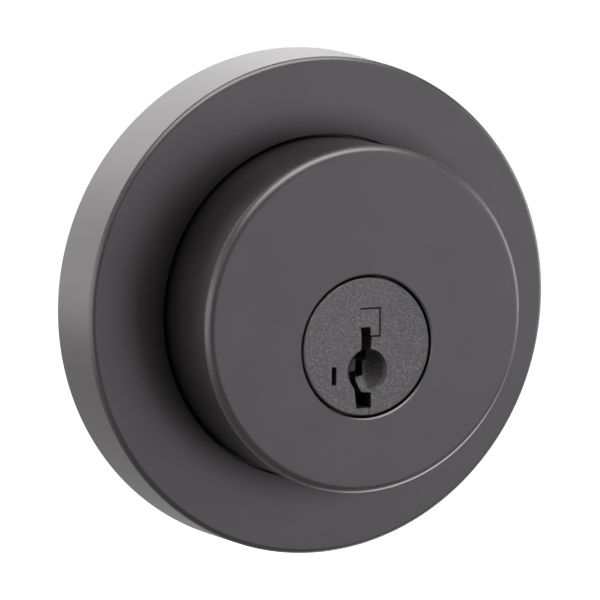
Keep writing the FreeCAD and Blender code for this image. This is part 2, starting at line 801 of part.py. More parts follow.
def make_carriage():
    """Slide that holds the racks; the resetting tool pushes it back."""
    body = keep(new_body("carriage"))
    half = "(pocket_half - slide_gap)"
    channel = "(sidebar_half + slide_gap)"
    outline = sketch_on(body, "XZ_Plane", "carriage_back")
    polygon(outline, (
        (CARRIAGE_RIGHT, f"-{half}"),
        (CARRIAGE_RIGHT, half),
        ("carriage_left", half),
        ("carriage_left", channel),
        ("channel_floor", channel),
        ("channel_floor", f"-{channel}"),
        ("carriage_left", f"-{channel}"),
        ("carriage_left", f"-{half}"),
    ))
    pad(body, outline, "carriage_front - carriage_back")
    window = sketch_on(body, "XZ_Plane", "carriage_front")
    opening = "(finger_half + slide_gap)"
    rectangle(window, "channel_floor", "rack_left - slide_gap", f"-{opening}", opening)
    pocket(body, window, "carriage_front - carriage_back")
    slots = sketch_on(body, "YZ_Plane", CARRIAGE_RIGHT)
    for index in range(PIN_COUNT):
        rectangle(
            slots,
            f"-{pin_front(index)} - rack_width / 2 - running_gap",
            f"-{pin_front(index)} + rack_width / 2 + running_gap",
            "rack_low - slide_gap",
            "rack_high + pin_lift + slide_gap",
        )
    pocket(body, slots, f"{CARRIAGE_RIGHT} - rack_left + slide_gap")
    lug_way = sketch_on(body, "XZ_Plane", "carriage_front")
    rectangle(
        lug_way,
        "pin_line - lug_reach - slide_gap",
        f"{CARRIAGE_RIGHT} + {OVERCUT}",
        "lug_level - lug_height / 2 - slide_gap",
        "lug_level + lug_height / 2 + pin_lift + slide_gap",
    )
    pocket(body, lug_way, "carriage_front - carriage_back")
    holes = sketch_on(body, "XZ_Plane", "carriage_back + carriage_spring_depth")
    for side in ("", "-"):
        place = ("carriage_spring_place", f"{side}carriage_spring_level")
        circle(holes, "carriage_spring_hole", *place)
    pocket(body, holes, "carriage_spring_depth")


def make_carriage_springs():
    """Two springs that bring the carriage forward again."""
    front = "(carriage_back + carriage_spring_depth)"
    springs = []
    for side in ("", "-"):
        place = ("carriage_spring_place", front, f"{side}carriage_spring_level")
        length = f"({front} + pocket_back)"
        springs.append(
            coil("Coil", "carriage_coil_radius", length, CARRIAGE_COIL_TURNS, place, (0, 1, 0))
        )
    group("carriage_springs", springs)


def make_sidebar():
    """Bar that locks the plug, with a blade that enters the racks' gates."""
    body = keep(new_body("sidebar"))
    section = sketch_on(body, "XZ_Plane", "slide_gap - pocket_back")
    polygon(section, (
        (SIDEBAR_INSIDE, "-sidebar_half"),
        (SIDEBAR_INSIDE, "sidebar_half"),
        (SIDEBAR_BACK, "sidebar_half"),
        (SIDEBAR_BACK, "2 * sidebar_crest_half"),
        (SIDEBAR_CREST, "sidebar_crest_half"),
        (SIDEBAR_CREST, "-sidebar_crest_half"),
        (SIDEBAR_BACK, "-2 * sidebar_crest_half"),
        (SIDEBAR_BACK, "-sidebar_half"),
    ))
    pad(body, section, "pocket_front + pocket_back - 2 * slide_gap")
    blade_start = f"({pin_front(PIN_COUNT - 1)} - rack_width / 2)"
    blade = sketch_on(body, "XZ_Plane", blade_start)
    rectangle(blade, SIDEBAR_INSIDE, "rack_left - finger_gap", "-finger_half", "finger_half")
    pad(body, blade, f"{PIN_COUNT - 1} * pin_pitch + rack_width")


def make_sidebar_springs():
    """Two small springs that push the sidebar outward."""
    springs = []
    for front in ("sidebar_spring_front", "sidebar_spring_back"):
        length = f"(pocket_right - {SIDEBAR_INSIDE})"
        place = (SIDEBAR_INSIDE, front, "0")
        springs.append(
            coil("Coil", "sidebar_coil_radius", length, SIDEBAR_COIL_TURNS, place, (1, 0, 0))
        )
    group("sidebar_springs", springs)


def make_plug_cap():
    """Cap nut on the plug's tail, which keeps the plug in and holds the tailpiece."""
    body = keep(new_body("plug_cap"))
    start = "(-pocket_back - 2 * end_gap)"
    disc_space = "tail_disc_radius + end_gap"
    revolve(body, (
        ("plug_radius", start),
        (CAP_RADIUS, start),
        (CAP_RADIUS, f"{CAP_BACK} - cap_lip"),
        ("cap_lip_radius", f"{CAP_BACK} - cap_lip"),
        ("cap_lip_radius", CAP_BACK),
        (disc_space, CAP_BACK),
        (disc_space, "-plug_tail"),
        ("plug_radius", "-plug_tail"),
    ))


def make_driver_pin():
    """Pin in the plug's tail that carries the tailpiece round after its free travel."""
    body = keep(new_body("driver_pin", z="driver_place"))
    section = sketch_on(body, "XZ_Plane", f"{TAIL_DISC_BACK} + tail_disc_gap")
    circle(section, "driver_radius")
    pad(body, section, f"driver_depth - plug_tail - ({TAIL_DISC_BACK} + tail_disc_gap)")


def draw_travel_slot(sketch):
    """Draw the half-ring slot, with round ends, that the driver pin travels in."""
    outer = number("driver_place + driver_radius + driver_fit")
    inner = number("driver_place - driver_radius - driver_fit")
    middle = number("driver_place")
    half_width = number("driver_radius + driver_fit")
    up = Vector(0, 0, 1)
    arcs = (
        (Vector(0, 0, 0), outer, 0, pi),
        (Vector(-middle, 0, 0), half_width, pi, 2 * pi),
        (Vector(0, 0, 0), inner, 0, pi),
        (Vector(middle, 0, 0), half_width, pi, 2 * pi),
    )
    for centre, radius, start, end in arcs:
        sketch.addGeometry(Part.ArcOfCircle(Part.Circle(centre, up, radius), start, end), False)
    for ring in (0, 2):
        sketch.addConstraint(Sketcher.Constraint("Coincident", ring, 3, -1, 1))
        sketch.addConstraint(Sketcher.Constraint("PointOnObject", ring, 1, -1))
        sketch.addConstraint(Sketcher.Constraint("PointOnObject", ring, 2, -1))
    joins = ((0, 2, 1, 1), (1, 2, 2, 2), (2, 1, 3, 1), (3, 2, 0, 1))
    for join in joins:
        sketch.addConstraint(Sketcher.Constraint("Coincident", *join))
    for cap in (1, 3):
        sketch.addConstraint(Sketcher.Constraint("PointOnObject", cap, 3, -1))
    hold(sketch, "Radius", (0,), "driver_place + driver_radius + driver_fit")
    hold(sketch, "Radius", (2,), "driver_place - driver_radius - driver_fit")


def make_tailpiece():
    """Half-round blade on a disc with a half-turn slot for the driver pin."""
    body = keep(new_body("tailpiece"))
    disc = sketch_on(body, "XZ_Plane", TAIL_DISC_BACK)
    circle(disc, "tail_disc_radius")
    pad(body, disc, "tail_disc_thickness")
    shank = sketch_on(body, "XZ_Plane", "-blade_end")
    circle(shank, "blade_radius")
    pad(body, shank, f"blade_end + {TAIL_DISC_BACK}")
    flat = sketch_on(body, "XZ_Plane", f"{CAP_BACK} - cap_lip - blade_neck")
    past = f"blade_radius + {OVERCUT}"
    rectangle(flat, f"-({past})", past, "blade_flat", past)
    pocket(body, flat, f"blade_end + ({CAP_BACK} - cap_lip - blade_neck)")
    slot = sketch_on(body, "XZ_Plane", f"{TAIL_DISC_BACK} + tail_disc_thickness")
    draw_travel_slot(slot)
    pocket(body, slot, "tail_disc_thickness")


def check_and_write():
    """Stop on any failed object or bad shape, then write one file for each sub-part."""
    DOC.recompute()
    for thing in DOC.Objects:
        if "Invalid" in thing.State or "Error" in thing.State:
            raise ValueError(f"{thing.Name} of {thing.getParentGeoFeatureGroup()} failed")
    os.makedirs("parts", exist_ok=True)
    for node in NODES:
        if node.Shape.isNull() or not node.Shape.isValid():
            raise ValueError(f"{node.Label} has a bad shape")
        if not node.Shape.Solids:
            raise ValueError(f"{node.Label} has no solid")
        node.Shape.exportStep(f"parts/{node.Label}.step")
        print(f"{node.Label}: {len(node.Shape.Solids)} solid, {node.Shape.Volume:.2f} mm3")


fill_sheet()
make_rose()
make_housing()
make_drill_guard()
make_door_gasket()
make_retaining_plate()
make_screws()
make_posts()
make_bore_spigot()
make_cylinder_body()
make_drill_pins()
make_plug()
make_face_insert()
make_spring_cover()
make_plug_cap()
make_driver_pin()
make_sidebar()
make_sidebar_springs()
make_carriage()
make_carriage_springs()
for pin_index in range(PIN_COUNT):
    make_rack(pin_index)
    make_pin(pin_index)
    make_pin_spring(pin_index)
make_tailpiece()
check_and_write()
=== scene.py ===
"""Looks of a round keyed deadbolt: satin trim, a glittering plug and plated fixings behind.

Every place and overall size of the lock comes from the loaded frame, in metres. The lock's
axis is Y, outside is towards -Y, and distances "in front" are measured from the door's face.
"""

import json
import logging
import math
from dataclasses import dataclass
from enum import Enum
from typing import Any

import bmesh
import bpy
from mathutils import Matrix, Vector


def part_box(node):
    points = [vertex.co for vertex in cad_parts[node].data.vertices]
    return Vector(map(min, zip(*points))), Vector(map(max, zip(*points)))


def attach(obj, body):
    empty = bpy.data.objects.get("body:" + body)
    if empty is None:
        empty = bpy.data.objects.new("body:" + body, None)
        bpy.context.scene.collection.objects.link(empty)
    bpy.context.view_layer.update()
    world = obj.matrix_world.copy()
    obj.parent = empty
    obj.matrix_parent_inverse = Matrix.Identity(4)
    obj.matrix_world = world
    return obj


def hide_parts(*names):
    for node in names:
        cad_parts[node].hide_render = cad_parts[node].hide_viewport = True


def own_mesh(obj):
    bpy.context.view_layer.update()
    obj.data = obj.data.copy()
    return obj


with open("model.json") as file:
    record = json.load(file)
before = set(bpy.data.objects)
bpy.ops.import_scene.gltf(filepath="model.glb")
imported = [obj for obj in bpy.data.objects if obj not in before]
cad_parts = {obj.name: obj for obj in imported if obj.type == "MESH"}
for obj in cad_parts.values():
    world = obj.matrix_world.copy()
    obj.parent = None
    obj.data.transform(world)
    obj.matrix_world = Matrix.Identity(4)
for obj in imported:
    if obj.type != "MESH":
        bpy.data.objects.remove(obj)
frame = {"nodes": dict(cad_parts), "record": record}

MM = 0.001
NEARLY = 1e-7
SAME_POINT = 1e-8
FLAT_DEGREES = 0.5
SHARP_DEGREES = 40.0
FINE_STEPS = 192
LARGE_STEPS = 256
RIM_SEGMENTS = 6
NOISE_MIDDLE = 0.5
WHITE = (1.0, 1.0, 1.0)
COOL = (0.96, 0.99, 1.05)
LOG = logging.getLogger("lock")

Colour = tuple[float, float, float]
Corner = tuple[float, float, float]
Vector3 = tuple[float, float, float]


# ---------------------------------------------------------------------------
# Shader maths
# ---------------------------------------------------------------------------


class Wire:
    """One shader value, on which Python's operators add Math nodes."""

    def __init__(self, tree: "Tree", socket: Any) -> None:
        """Keep the tree and the output socket that carries the value."""
        self.tree = tree
        self.socket = socket

    def _math(self, operation: str, first: Any, second: Any, clamp: bool = False) -> "Wire":
        """Add one Math node.

        Args:
            operation: The node's operation.
            first: The first operand, a wire or a number.
            second: The second operand.
            clamp: Whether the result is kept between 0 and 1.

        Returns:
            The node's result.
        """
        values = {0: first, 1: second}
        settings = {"operation": operation, "use_clamp": clamp}
        return self.tree.add("ShaderNodeMath", settings, values)

    def __add__(self, other: Any) -> "Wire":
        """Return the sum."""
        return self._math("ADD", self, other)

    def __radd__(self, other: Any) -> "Wire":
        """Return the sum, with the number first."""
        return self._math("ADD", other, self)

    def __sub__(self, other: Any) -> "Wire":
        """Return the difference."""
        return self._math("SUBTRACT", self, other)

    def __rsub__(self, other: Any) -> "Wire":
        """Return the difference, with the number first."""
        return self._math("SUBTRACT", other, self)

    def __mul__(self, other: Any) -> "Wire":
        """Return the product."""
        return self._math("MULTIPLY", self, other)

    def __rmul__(self, other: Any) -> "Wire":
        """Return the product, with the number first."""
        return self._math("MULTIPLY", other, self)

    def clamped(self) -> "Wire":
        """Return the value kept between 0 and 1."""
        return self._math("ADD", self, 0.0, clamp=True)

    def stretched(self, gain: float, offset: float) -> "Wire":
        """Return the value times a gain plus an offset, kept between 0 and 1."""
        return (self * gain + offset).clamped()

    def power(self, exponent: float) -> "Wire":
        """Return the value raised to a power."""
        return self._math("POWER", self, exponent)


class Tree:
    """A node tree that nodes are added to by one method."""

    def __init__(self, tree: bpy.types.NodeTree) -> None:
        """Take a tree and empty it."""
        self.tree = tree
        self.tree.nodes.clear()

    def add(
        self, kind: str, settings: dict[str, Any], values: dict[Any, Any], output: Any = 0
    ) -> Wire:
        """Add one node.

        Args:
            kind: The node's type.
            settings: Attributes of the node, set before its sockets.
            values: Sockets' values or wires, by name or number.
            output: Which output the returned wire takes.

        Returns:
            A wire from the chosen output.
        """
        node = self.tree.nodes.new(kind)
        for name, setting in settings.items():
            if name == "stops":
                self._set_ramp(node, setting)
            else:
                setattr(node, name, setting)
        for key, value in values.items():
            socket = node.inputs[key]
            if isinstance(value, Wire):
                self.tree.links.new(value.socket, socket)
            else:
                socket.default_value = value
        return Wire(self, node.outputs[output] if len(node.outputs) else None)

    @staticmethod
    def _set_ramp(node: bpy.types.Node, stops: list[tuple[float, Colour]]) -> None:
        """Give a colour ramp its stops."""
        elements = node.color_ramp.elements
        while len(elements) > 1:
            elements.remove(elements[-1])
        for index, (place, colour) in enumerate(stops):
            element = elements[0] if index == 0 else elements.new(place)
            element.position = place
            element.color = (*colour, 1.0)

    def place(self) -> Wire:
        """Return object coordinates in millimetres."""
        point = self.add("ShaderNodeTexCoord", {}, {}, "Object")
        return self.add("ShaderNodeMapping", {}, {"Vector": point, "Scale": (1.0 / MM,) * 3})

    def split(self, point: Wire) -> tuple[Wire, ...]:
        """Return a point's three coordinates."""
        values = {"Vector": point}
        return tuple(self.add("ShaderNodeSeparateXYZ", {}, values, axis) for axis in "XYZ")

    def noise(self, point: Wire, scale: float, detail: float = 3.0, rough: float = 0.5) -> Wire:
        """Return smooth noise between about 0 and 1."""
        values = {"Vector": point, "Scale": scale, "Detail": detail, "Roughness": rough}
        return self.add("ShaderNodeTexNoise", {}, values, "Fac")

    def ramp(self, factor: Wire, stops: list[tuple[float, Colour]]) -> Wire:
        """Return a colour that runs through stops."""
        return self.add("ShaderNodeValToRGB", {"stops": stops}, {"Fac": factor})

    def mix(self, factor: Any, first: Any, second: Any) -> Wire:
        """Return a colour between two others."""
        values = {0: factor, 6: _rgba(first), 7: _rgba(second)}
        return self.add("ShaderNodeMix", {"data_type": "RGBA"}, values, 2)

    def bump(self, height: Wire, distance: float) -> Wire:
        """Return a normal bent by a height, with its distance in metres."""
        values = {"Height": height, "Distance": distance, "Strength": 1.0}
        return self.add("ShaderNodeBump", {}, values)


def _rgba(value: Any) -> Any:
    """Return a colour with an alpha, or a wire as it is."""
    return value if isinstance(value, Wire) else (*value, 1.0)


# ---------------------------------------------------------------------------
# Finishes
# ---------------------------------------------------------------------------


@dataclass(frozen=True)
class Finish:
    """A surface finish that makes one material.

    Args:
        name: The material's name.
        colour: The main colour.
        roughness: The average roughness.
        metallic: How much of a metal it is.
    """

    name: str
    colour: Colour
    roughness: float = 0.4
    metallic: float = 1.0

    def material(self) -> bpy.types.Material:
        """Return this finish's material, made once."""
        found = bpy.data.materials.get(self.name)
        if found is not None:
            return found
        made = bpy.data.materials.new(self.name)
        made.use_nodes = True
        tree = Tree(made.node_tree)
        shader = self.surface(tree)
        tree.add("ShaderNodeOutputMaterial", {}, {"Surface": shader})
        return made

    def surface(self, tree: Tree) -> Wire:
        """Return the surface shader; each kind of finish has its own."""
        raise NotImplementedError

    def shader(self, tree: Tree, **values: Any) -> Wire:
        """Return a Principled shader with this finish's own values and some others."""
        sockets = {"Metallic": self.metallic, "Roughness": self.roughness}
        sockets.update({name.replace("_", " "): value for name, value in values.items()})
        return tree.add("ShaderNodeBsdfPrincipled", {}, sockets)


@dataclass(frozen=True)
class SatinCoat(Finish):
    """Smooth dark coat over metal, with a fine grain and painted shade in the corner behind the
    drum.

    Args:
        grain: Height of the grain in metres.
        tone: How much the colour drifts, as a share.
        reach: How far the painted shade in the corner spreads, in millimetres.
        dull: The share of the colour that is left where the corner's painted shade is deepest.
        fade: The power by which the painted shade fades with distance.
    """

    grain: float = 0.0000012
    tone: float = 0.06
    reach: float = 4.5
    dull: float = 0.3
    fade: float = 0.6

    def surface(self, tree: Tree) -> Wire:
        """Return the coat's shader."""
        point = tree.place()
        drift = tree.noise(point, scale=0.12, detail=2.0)
        grain = tree.noise(point, scale=9.0, detail=2.0, rough=0.6)
        speck = tree.noise(point, scale=3.1, detail=4.0, rough=0.7)
        low = tuple(channel * (1.0 - self.tone) for channel in self.colour)
        high = tuple(channel * (1.0 + self.tone) for channel in self.colour)
        coat = tree.ramp(0.6 * drift + 0.4 * speck, [(0.35, low), (0.65, high)])
        # Painted shade: the coat's colour darkens towards the corner where the drum meets the
        # rose.
        painted_shade = tuple(channel * self.dull for channel in self.colour)
        colour = tree.mix(self.away(tree, point), painted_shade, coat)
        wear = 0.05 * (drift - NOISE_MIDDLE)
        roughness = self.roughness + wear + 0.06 * (speck - NOISE_MIDDLE)
        normal = tree.bump(grain + 0.5 * speck, self.grain)
        return self.shader(tree, Base_Color=colour, Roughness=roughness, Normal=normal)

    def away(self, tree: Tree, point: Wire) -> Wire:
        """Return how far a point is from the corner, from 0 in it to 1 at its reach, which sets
        how much painted shade it gets.
        """
        x, y, z = tree.split(point)
        up = z - axis_of("housing").z / MM
        out = (x * x + up * up).power(0.5) - Trim().drum_radius() / MM
        ahead = y + depth_of("rose") / MM
        distance = (out * out + ahead * ahead).power(0.5)
        return (distance * (1.0 / self.reach)).clamped().power(self.fade)


@dataclass(frozen=True)
class GlitterCoat(Finish):
    """Coarse sprayed coat whose flakes catch the light one by one, with painted shade in the
    dimple.

    Args:
        flake: Size of a flake in millimetres.
        glint: Colour of the brightest flakes.
        rare: The share of the flakes that don't shine.
        low: The share of the colour that the darkest flakes have.
        dull: The share of the colour that is left where the dimple's painted shade is deepest.
        lost: The share of the flakes' shine that the dimple's painted shade takes away.
        lift: How far a flake tilts its surface, as a share of its size.
    """

    flake: float = 0.13
    glint: Colour = (0.26, 0.248, 0.252)
    rare: float = 0.8
    low: float = 0.62
    dull: float = 0.25
    lost: float = 0.65
    lift: float = 0.35

    def surface(self, tree: Tree) -> Wire:
        """Return the coat's shader."""
        point = tree.place()
        cells = {"Vector": point, "Scale": 1.0 / self.flake}
        random = tree.add("ShaderNodeTexVoronoi", {}, cells, "Color")
        split = tree.add("ShaderNodeSeparateColor", {}, {"Color": random})
        grain = tree.noise(point, scale=2.2 / self.flake, detail=3.0, rough=0.65)
        clump = tree.noise(point, scale=1.1, detail=3.0, rough=0.6)
        # Painted shade: points sunk behind the plug's face in its right half are darkened, and
        # their flakes are dimmed.
        hollow = self.hollow(tree, point)
        shine = ((split - self.rare) * 4.0).clamped() * (clump * 1.6).clamped()
        bright = shine * (1.0 - self.lost * hollow)
        low = tuple(channel * self.low for channel in self.colour)
        coat = tree.ramp(0.5 * grain + 0.5 * split, [(0.25, low), (0.75, self.colour)])
        painted_shade = tuple(channel * self.dull for channel in self.colour)
        colour = tree.mix(bright, tree.mix(hollow, coat, painted_shade), self.glint)
        roughness = self.roughness + 0.25 * (grain - NOISE_MIDDLE) - 0.12 * bright
        normal = tree.bump(0.7 * split + grain, self.flake * MM * self.lift)
        return self.shader(tree, Base_Color=colour, Roughness=roughness, Normal=normal)

    def hollow(self, tree: Tree, point: Wire) -> Wire:
        """Return the painted shade's strength: 1 deep in the plug's right half, 0 on its face."""
        right, depth, _ = tree.split(point)
        sunk = depth + depth_of("plug") / MM
        return sunk.stretched(1.6, -0.4) * right.stretched(1.2, -0.1)


@dataclass(frozen=True)
class PlatedSteel(Finish):
    """Zinc-plated steel, with faint drawn lines and a yellow or blue cloud.

    Args:
        cloud: Colour that the plating drifts towards.
        lines: Height of the drawn lines in metres.
    """

    cloud: Colour = (0.60, 0.55, 0.36)
    lines: float = 0.000002

    def surface(self, tree: Tree) -> Wire:
        """Return the plating's shader."""
        point = tree.place()
        cloud = tree.noise(point, scale=0.35, detail=3.0, rough=0.6)
        stretched = tree.add("ShaderNodeMapping", {}, {"Vector": point, "Scale": (0.25, 6.0, 6.0)})
        drawn = tree.noise(stretched, scale=2.0, detail=4.0, rough=0.6)
        pits = tree.noise(point, scale=4.0, detail=2.0)
        colour = tree.mix(cloud.stretched(2.4, -0.8), self.colour, self.cloud)
        wear = 0.2 * (drawn - NOISE_MIDDLE)
        roughness = self.roughness + wear + 0.1 * (cloud - NOISE_MIDDLE)
        normal = tree.bump(drawn + 0.5 * pits, self.lines)
        return self.shader(tree, Base_Color=colour, Roughness=roughness, Normal=normal)


@dataclass(frozen=True)
class TurnedMetal(Finish):
    """Bright turned metal, with rings one above another along Z and a little tarnish.

    Args:
        tarnish: Colour of the tarnish.
        ring: Spacing of the tool's rings in millimetres.
        relief: Height of the rings in metres.
    """

    tarnish: Colour = (0.40, 0.26, 0.10)
    ring: float = 0.12
    relief: float = 0.0000015

    def surface(self, tree: Tree) -> Wire:
        """Return the turned metal's shader."""
        point = tree.place()
        rings = tree.add("ShaderNodeTexWave", {"wave_type": "BANDS", "bands_direction": "Z"},
                         {"Vector": point, "Scale": 0.3 / self.ring, "Distortion": 0.4}, "Fac")
        dull = tree.noise(point, scale=1.5, detail=4.0, rough=0.65)
        colour = tree.mix(dull.stretched(2.2, -0.9), self.colour, self.tarnish)
        roughness = self.roughness + 0.12 * dull + 0.05 * rings
        normal = tree.bump(rings + dull, self.relief)
        return self.shader(tree, Base_Color=colour, Roughness=roughness, Normal=normal)


@dataclass(frozen=True)
class CastMetal(Finish):
    """Die-cast zinc, slightly pebbled and mottled.

    Args:
        pebble: Height of the pebbling in metres.
        low: The share of the colour that the darkest places have.
    """

    pebble: float = 0.000008
    low: float = 0.72

    def surface(self, tree: Tree) -> Wire:
        """Return the casting's shader."""
        point = tree.place()
        flow = tree.noise(point, scale=0.5, detail=3.0, rough=0.6)
        pebbles = tree.noise(point, scale=3.5, detail=4.0, rough=0.6)
        low = tuple(channel * self.low for channel in self.colour)
        colour = tree.ramp(0.5 * flow + 0.5 * pebbles, [(0.3, low), (0.7, self.colour)])
        roughness = self.roughness + 0.18 * (flow - NOISE_MIDDLE)
        normal = tree.bump(pebbles, self.pebble)
        return self.shader(tree, Base_Color=colour, Roughness=roughness, Normal=normal)


@dataclass(frozen=True)
class Moulded(Finish):
    """Moulded plastic or rubber with a spark-eroded texture.

    Args:
        texture: Height of the texture in metres.
    """

    texture: float = 0.00001

    def surface(self, tree: Tree) -> Wire:
        """Return the moulding's shader."""
        point = tree.place()
        pits = tree.noise(point, scale=4.5, detail=3.0, rough=0.7)
        dust = tree.noise(point, scale=0.6, detail=4.0, rough=0.6)
        pale = tuple(min(1.0, channel * 1.9 + 0.01) for channel in self.colour)
        colour = tree.mix(dust.stretched(2.0, -0.8), self.colour, pale)
        roughness = self.roughness + 0.15 * (dust - NOISE_MIDDLE)
        normal = tree.bump(pits, self.texture)
        return self.shader(tree, Base_Color=colour, Roughness=roughness, Normal=normal)


class Look(Enum):
    """The lock's finishes, by the record's material slot."""

    trim_coat = SatinCoat("satin_trim_coat", (0.0950, 0.0880, 0.0905), roughness=0.41)
    plug_coat = GlitterCoat("glitter_plug_coat", (0.158, 0.148, 0.153), roughness=0.43)
    gasket_rubber = Moulded("gasket_rubber", (0.018, 0.018, 0.019), roughness=0.75, metallic=0.0)
    ring_plastic = Moulded("ring_plastic", (0.03, 0.03, 0.033), roughness=0.5, metallic=0.0)
    hard_steel = PlatedSteel(
        "ground_steel", (0.45, 0.45, 0.47), roughness=0.28, cloud=(0.34, 0.35, 0.38)
    )
    plate_steel = PlatedSteel("plated_steel", (0.62, 0.61, 0.57), roughness=0.30)
    screw_steel = PlatedSteel(
        "screw_steel", (0.66, 0.66, 0.68), roughness=0.24, cloud=(0.56, 0.60, 0.66)
    )
    spring_steel = TurnedMetal(
        "spring_wire", (0.62, 0.62, 0.64), roughness=0.22, tarnish=(0.42, 0.42, 0.44)
    )
    cast_zinc = CastMetal("cast_zinc", (0.50, 0.50, 0.52), roughness=0.42)
    pin_brass = TurnedMetal("pin_brass", (0.80, 0.60, 0.27), roughness=0.22)


# ---------------------------------------------------------------------------
# Mesh tools
# ---------------------------------------------------------------------------


@dataclass
class Piece:
    """A finished visual piece: how it is named, ridden and dressed.

    Args:
        node: The frame's node that it stands for.
        sharp: Edges that turn more than this many degrees keep a hard line.
    """

    node: str
    sharp: float = 50.0

    def from_bmesh(self, mesh: bmesh.types.BMesh) -> bpy.types.Object:
        """Make the object from a bmesh and put it in the scene.

        Args:
            mesh: The shape, which is freed here.

        Returns:
            The new object, at the origin, unturned and unscaled.
        """
        for face in mesh.faces:
            face.smooth = True
        for edge in mesh.edges:
            if len(edge.link_faces) == 2:
                edge.smooth = edge.calc_face_angle(0.0) < math.radians(self.sharp)
        name = f"{self.node}_form"
        data = bpy.data.meshes.new(name)
        mesh.to_mesh(data)
        mesh.free()
        made = bpy.data.objects.new(name, data)
        bpy.context.scene.collection.objects.link(made)
        modifier = made.modifiers.new("even_normals", "WEIGHTED_NORMAL")
        modifier.keep_sharp = True
        return made

    def dress(self, made: bpy.types.Object) -> None:
        """Give a piece its body, its node, its slot and its material.

        Args:
            made: The piece's object.
        """
        slot_name = SLOT_OF[self.node]
        made.data.materials.clear()
        made.data.materials.append(Look[slot_name].value.material())
        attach(made, BODY_OF[self.node])
        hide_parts(self.node)
        LOG.info("%s: %d faces on %s", made.name, len(made.data.polygons), BODY_OF[self.node])


BODY_OF: dict[str, str] = {
    node: body for body, nodes in frame["record"]["behaviour"]["bodies"].items() for node in nodes
}
SLOT_OF: dict[str, str] = {
    part["node"]: part["material_slot"] for part in frame["record"]["subparts"]
}
TRAVEL_OF: dict[str, float] = {
    joint["name"]: max(map(abs, joint["range_m"]))
    for joint in frame["record"]["behaviour"]["joints"] if "range_m" in joint
}


def limits(node: str) -> tuple[Vector, Vector]:
    """Return a node's lowest and highest corners as vectors."""
    low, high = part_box(node)
    return Vector(low), Vector(high)


def axis_of(node: str) -> Vector:
    """Return the point of a round node's axis that lies on the door's face."""
    low, high = limits(node)
    return Vector(((low.x + high.x) / 2, 0.0, (low.z + high.z) / 2))


def radius_of(node: str) -> float:
    """Return a round node's largest radius."""
    low, high = limits(node)
    return (high.x - low.x) / 2


def depth_of(node: str) -> float:
    """Return how far a node reaches in front of the door."""
    return -limits(node)[0].y


def lathe(corners: list[Corner], centre: Vector, steps: int = FINE_STEPS) -> bmesh.types.BMesh:
    """Turn a closed outline once about a line along Y, with rounded corners.

    Args:
        corners: (radius, distance in front of the door, rounding) of each corner.
        centre: A point on the line.
        steps: How many steps the full turn has.

    Returns:
        The closed shape.
    """
    mesh = bmesh.new()
    rims = []
    outline = []
    for radius, front, rounding in corners:
        outline.append(mesh.verts.new((centre.x + radius, -front, centre.z)))
        if rounding > 0.0:
            rims.append((radius, front, rounding))
    for index, vertex in enumerate(outline):
        following = outline[(index + 1) % len(outline)]
        on_axis = corners[index][0] == 0.0 and corners[(index + 1) % len(outline)][0] == 0.0
        if not on_axis:
            mesh.edges.new((vertex, following))
    bmesh.ops.spin(
        mesh, geom=mesh.verts[:] + mesh.edges[:], cent=centre, axis=(0.0, 1.0, 0.0),
        dvec=(0.0, 0.0, 0.0), angle=math.tau, steps=steps, use_merge=True,
    )
    bmesh.ops.remove_doubles(mesh, verts=mesh.verts[:], dist=SAME_POINT)
    bmesh.ops.recalc_face_normals(mesh, faces=mesh.faces[:])
    for radius, front, rounding in rims:
        ring = [edge for edge in mesh.edges if _on_rim(edge, centre, radius, front)]
        bmesh.ops.bevel(
            mesh, geom=ring, offset=rounding, offset_type="OFFSET", segments=RIM_SEGMENTS,
            profile=0.5, affect="EDGES", clamp_overlap=True, material=-1,
        )
    return mesh


def _on_rim(edge: bmesh.types.BMEdge, centre: Vector, radius: float, front: float) -> bool:
    """Tell whether an edge lies on one circle of a turned shape."""
    for vertex in edge.verts:
        out = math.hypot(vertex.co.x - centre.x, vertex.co.z - centre.z)
        if abs(out - radius) > NEARLY or abs(vertex.co.y + front) > NEARLY:
            return False
    return True


def softened(node: str, width: float, segments: int = 2, angle: float = 32.0) -> bmesh.types.BMesh:
    """Return a merged copy of a node's mesh with its hard edges rounded.

    Args:
        node: The frame's node.
        width: The rounding in metres.
        segments: Faces across a rounded edge.
        angle: Edges that turn less than this many degrees are left.

    Returns:
        The shape.
    """
    mesh = bmesh.new()
    mesh.from_mesh(frame["nodes"][node].data)
    bmesh.ops.remove_doubles(mesh, verts=mesh.verts[:], dist=NEARLY)
    bmesh.ops.dissolve_limit(
        mesh, angle_limit=math.radians(FLAT_DEGREES), verts=mesh.verts[:], edges=mesh.edges[:]
    )
    hard = [
        edge for edge in mesh.edges
        if len(edge.link_faces) == 2 and edge.calc_face_angle(0.0) > math.radians(angle)
    ]
    bmesh.ops.bevel(
        mesh, geom=hard, offset=width, offset_type="OFFSET", segments=segments,
        profile=0.5, affect="EDGES", clamp_overlap=True, material=-1,
    )
    return mesh


def cut(target: bpy.types.Object, tool: bmesh.types.BMesh) -> None:
    """Cut a closed shape from a piece and keep the result.

    Args:
        target: The piece.
        tool: The shape that is cut away, freed here.
    """
    data = bpy.data.meshes.new("tool")
    tool.to_mesh(data)
    tool.free()
    cutter = bpy.data.objects.new("tool", data)
    bpy.context.scene.collection.objects.link(cutter)
    modifier = target.modifiers.new("cut", "BOOLEAN")
    modifier.operation = "DIFFERENCE"
    modifier.solver = "EXACT"
    modifier.object = cutter
    graph = bpy.context.evaluated_depsgraph_get()
    result = bpy.data.meshes.new_from_object(target.evaluated_get(graph))
    target.modifiers.remove(modifier)
    target.data = result
    bpy.data.objects.remove(cutter)
    bpy.data.meshes.remove(data)


# ---------------------------------------------------------------------------
# Sub-assemblies
# ---------------------------------------------------------------------------


